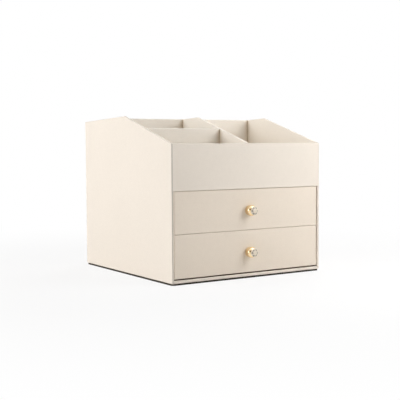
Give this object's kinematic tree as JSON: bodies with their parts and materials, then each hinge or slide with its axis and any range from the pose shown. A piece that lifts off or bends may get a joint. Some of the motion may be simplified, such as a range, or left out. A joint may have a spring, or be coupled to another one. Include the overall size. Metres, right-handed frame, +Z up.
{
  "type": "makeup organizer",
  "caption": "Desktop makeup box of cream wrapped board: an open divided tray with sloping sides over pull-out drawers with round gold knobs.",
  "frame": {"origin": "centre of the underside of the base pad, on the surface that the box stands on", "axes": "+X to the right seen from the drawer side, +Y to the back, +Z up"},
  "size_m": [0.25, 0.2711, 0.2252],
  "materials": {
    "leatherette": "fine matte grain, cream",
    "lining": "matte beige paper on board",
    "velvet": "short beige pile",
    "dark_felt": "dark felt",
    "gold": "polished gold plating",
    "crystal": "clear, cut in facets",
    "steel": "zinc-plated"
  },
  "bodies": {
    "case": {"base_pad": "dark_felt", "bottom_panel": "leatherette", "left_side_panel": "leatherette", "right_side_panel": "leatherette", "back_panel": "leatherette", "front_panel": "leatherette", "drawer_shelf": "lining", "tray_floor": "lining", "middle_divider": "leatherette", "cross_divider": "leatherette", "rear_divider": "leatherette", "left_front_liner": "velvet", "left_back_liner": "velvet", "right_liner": "velvet", "rear_liner": "velvet"},
    "upper_drawer": {"upper_drawer_front": "leatherette", "upper_drawer_floor": "lining", "upper_drawer_left_wall": "lining", "upper_drawer_right_wall": "lining", "upper_drawer_back_wall": "lining", "upper_drawer_liner": "velvet", "upper_drawer_knob_body": "gold", "upper_drawer_knob_stone": "crystal", "upper_drawer_knob_washer": "steel", "upper_drawer_knob_screw": "steel"},
    "lower_drawer": {"lower_drawer_front": "leatherette", "lower_drawer_floor": "lining", "lower_drawer_left_wall": "lining", "lower_drawer_right_wall": "lining", "lower_drawer_back_wall": "lining", "lower_drawer_liner": "velvet", "lower_drawer_knob_body": "gold", "lower_drawer_knob_stone": "crystal", "lower_drawer_knob_washer": "steel", "lower_drawer_knob_screw": "steel"}
  },
  "joints": [
    {"name": "upper_drawer_slide", "type": "slide", "parent": "case", "child": "upper_drawer", "axis": [0, -1, 0], "range_m": [0, 0.19]},
    {"name": "lower_drawer_slide", "type": "slide", "parent": "case", "child": "lower_drawer", "axis": [0, -1, 0], "range_m": [0, 0.19]}
  ]
}
